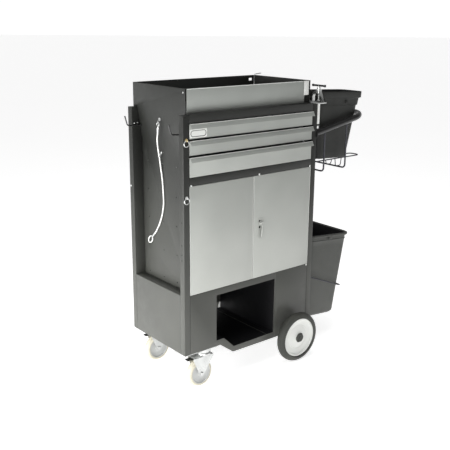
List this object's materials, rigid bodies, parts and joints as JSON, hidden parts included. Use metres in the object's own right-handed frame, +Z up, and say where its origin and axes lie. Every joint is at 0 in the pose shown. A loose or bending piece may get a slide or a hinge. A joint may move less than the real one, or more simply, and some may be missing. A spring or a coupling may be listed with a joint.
{
  "type": "housekeeping cart",
  "caption": "Upright steel service cart with an open header, drawers, a two-door cabinet, a lower cubby, a push handle with a bucket, a waste bin, fixed wheels and swivel casters.",
  "frame": {"origin": "middle of the overall footprint, on the floor under the wheels", "axes": "+Z up, the drawers and doors face -Y, the push handle, bucket and waste bin are at the +X end"},
  "size_m": [1.2052, 0.56, 1.331],
  "materials": {
    "charcoal_paint": "satin textured powder coat",
    "silver_paint": "satin silver-grey powder coat",
    "zinc_steel": "bright zinc plate",
    "black_plastic": "matt moulded",
    "black_paint": "satin black powder coat",
    "bin_plastic": "fine moulded grain",
    "tyre_rubber": "solid grey rubber",
    "white_disc": "satin white paint",
    "caster_tread": "cast polyurethane",
    "dark_wire": "thin dark coat on round wire",
    "white_vinyl": "smooth vinyl jacket"
  },
  "bodies": {
    "cart_body": {"post_front_left": "charcoal_paint", "post_rear_left": "charcoal_paint", "post_front_right": "charcoal_paint", "post_rear_right": "charcoal_paint", "left_side_sheet": "charcoal_paint", "right_side_sheet": "charcoal_paint", "back_sheet": "charcoal_paint", "top_deck": "charcoal_paint", "divider_shelf": "charcoal_paint", "cabinet_floor": "charcoal_paint", "left_skirt": "charcoal_paint", "right_skirt": "charcoal_paint", "lower_fascia": "charcoal_paint", "right_fascia": "charcoal_paint", "cubby_liner": "charcoal_paint", "axle_carrier": "charcoal_paint", "bin_rail": "charcoal_paint", "gate_channel": "silver_paint", "left_runner_rack": "zinc_steel", "right_runner_rack": "zinc_steel", "axle": "zinc_steel", "caster_plate_front": "zinc_steel", "caster_plate_rear": "zinc_steel", "clamp_base": "zinc_steel", "hook_front": "zinc_steel", "hook_rear": "zinc_steel", "lanyard_eye": "zinc_steel", "push_handle": "black_paint", "hanger_inner": "dark_wire", "hanger_outer": "dark_wire", "shelf_wire_front": "dark_wire", "shelf_wire_rear": "dark_wire", "bin_hoop": "dark_wire", "lanyard_cable": "white_vinyl", "lanyard_loop": "white_vinyl"},
    "drawer_1": {"drawer_front_1": "silver_paint", "drawer_box_1": "zinc_steel"},
    "drawer_2": {"drawer_front_2": "silver_paint", "drawer_box_2": "zinc_steel"},
    "drawer_3": {"drawer_front_3": "silver_paint", "drawer_box_3": "zinc_steel"},
    "left_door": {"left_door": "silver_paint"},
    "right_door": {"right_door": "silver_paint"},
    "latch_lever": {"latch_lever": "black_plastic"},
    "latch_rod": {"latch_rod": "zinc_steel"},
    "gate": {"gate": "silver_paint"},
    "wheel_front": {"tyre_front": "tyre_rubber", "wheel_disc_front": "white_disc"},
    "wheel_rear": {"tyre_rear": "tyre_rubber", "wheel_disc_rear": "white_disc"},
    "caster_swivel_front": {"caster_fork_front": "zinc_steel"},
    "caster_swivel_rear": {"caster_fork_rear": "zinc_steel"},
    "caster_roll_front": {"caster_wheel_front": "caster_tread"},
    "caster_roll_rear": {"caster_wheel_rear": "caster_tread"},
    "bucket": {"bucket": "black_plastic"},
    "waste_bin": {"waste_bin": "bin_plastic"},
    "clamp_pad": {"clamp_pad": "zinc_steel"},
    "clamp_screw": {"clamp_screw": "black_paint"},
    "ring_upper": {"ring_upper": "zinc_steel"},
    "ring_lower": {"ring_lower": "zinc_steel"}
  },
  "joints": [
    {"name": "drawer_1_slide", "type": "slide", "parent": "cart_body", "child": "drawer_1", "axis": [0, -1, 0], "range_m": [0, 0.3]},
    {"name": "drawer_2_slide", "type": "slide", "parent": "cart_body", "child": "drawer_2", "axis": [0, -1, 0], "range_m": [0, 0.3]},
    {"name": "drawer_3_slide", "type": "slide", "parent": "cart_body", "child": "drawer_3", "axis": [0, -1, 0], "range_m": [0, 0.3]},
    {"name": "left_door_hinge", "type": "hinge", "parent": "cart_body", "child": "left_door", "pos_m": [-0.5212, -0.2015, 0.4575], "axis": [0, 0, -1], "range_deg": [0, 95]},
    {"name": "right_door_hinge", "type": "hinge", "parent": "cart_body", "child": "right_door", "pos_m": [0.1668, -0.2015, 0.4575], "axis": [0, 0, 1], "range_deg": [0, 95]},
    {"name": "latch_turn", "type": "hinge", "parent": "right_door", "child": "latch_lever", "pos_m": [-0.1332, -0.2055, 0.715], "axis": [0, -1, 0], "range_deg": [0, 90]},
    {"name": "latch_rod_slide", "type": "slide", "parent": "right_door", "child": "latch_rod", "axis": [0, 0, 1], "range_m": [0, 0.012]},
    {"name": "gate_slide", "type": "slide", "parent": "cart_body", "child": "gate", "axis": [0, 0, 1], "range_m": [0, 0.09]},
    {"name": "wheel_front_spin", "type": "hinge", "parent": "cart_body", "child": "wheel_front", "pos_m": [0.0708, -0.257, 0.1215], "axis": [0, 1, 0], "continuous": true},
    {"name": "wheel_rear_spin", "type": "hinge", "parent": "cart_body", "child": "wheel_rear", "pos_m": [0.0708, 0.257, 0.1215], "axis": [0, 1, 0], "continuous": true},
    {"name": "caster_front_swivel", "type": "hinge", "parent": "cart_body", "child": "caster_swivel_front", "pos_m": [-0.4272, -0.169, 0.1782], "axis": [0, 0, 1], "continuous": true},
    {"name": "caster_front_spin", "type": "hinge", "parent": "caster_swivel_front", "child": "caster_roll_front", "pos_m": [-0.4562, -0.169, 0.0645], "axis": [0, 1, 0], "continuous": true},
    {"name": "caster_rear_swivel", "type": "hinge", "parent": "cart_body", "child": "caster_swivel_rear", "pos_m": [-0.4272, 0.169, 0.1782], "axis": [0, 0, 1], "continuous": true},
    {"name": "caster_rear_spin", "type": "hinge", "parent": "caster_swivel_rear", "child": "caster_roll_rear", "pos_m": [-0.4562, 0.169, 0.0645], "axis": [0, 1, 0], "continuous": true},
    {"name": "bucket_lift", "type": "slide", "parent": "cart_body", "child": "bucket", "axis": [0.0523, 0, 0.9986], "range_m": [0, 0.1]},
    {"name": "bin_lift", "type": "slide", "parent": "cart_body", "child": "waste_bin", "axis": [0.0906, 0, 0.9959], "range_m": [0, 0.25]},
    {"name": "clamp_rise", "type": "slide", "parent": "cart_body", "child": "clamp_pad", "axis": [0, 0, 1], "range_m": [0, 0.02]},
    {"name": "clamp_turn", "type": "hinge", "parent": "clamp_pad", "child": "clamp_screw", "pos_m": [0.2188, -0.195, 1.306], "axis": [0, 0, 1], "range_deg": [0, 2400]},
    {"name": "ring_upper_swing", "type": "hinge", "parent": "cart_body", "child": "ring_upper", "pos_m": [-0.5437, -0.2077, 1.1262], "axis": [-1, 0, 0], "range_deg": [0, 60]},
    {"name": "ring_lower_swing", "type": "hinge", "parent": "cart_body", "child": "ring_lower", "pos_m": [-0.5437, -0.2077, 0.8882], "axis": [-1, 0, 0], "range_deg": [0, 60]}
  ],
  "couplings": [
    {"joint": "latch_rod_slide", "follows": "latch_turn", "m_per_rad": 0.0076394},
    {"joint": "clamp_rise", "follows": "clamp_turn", "m_per_rad": 0.00047746}
  ]
}
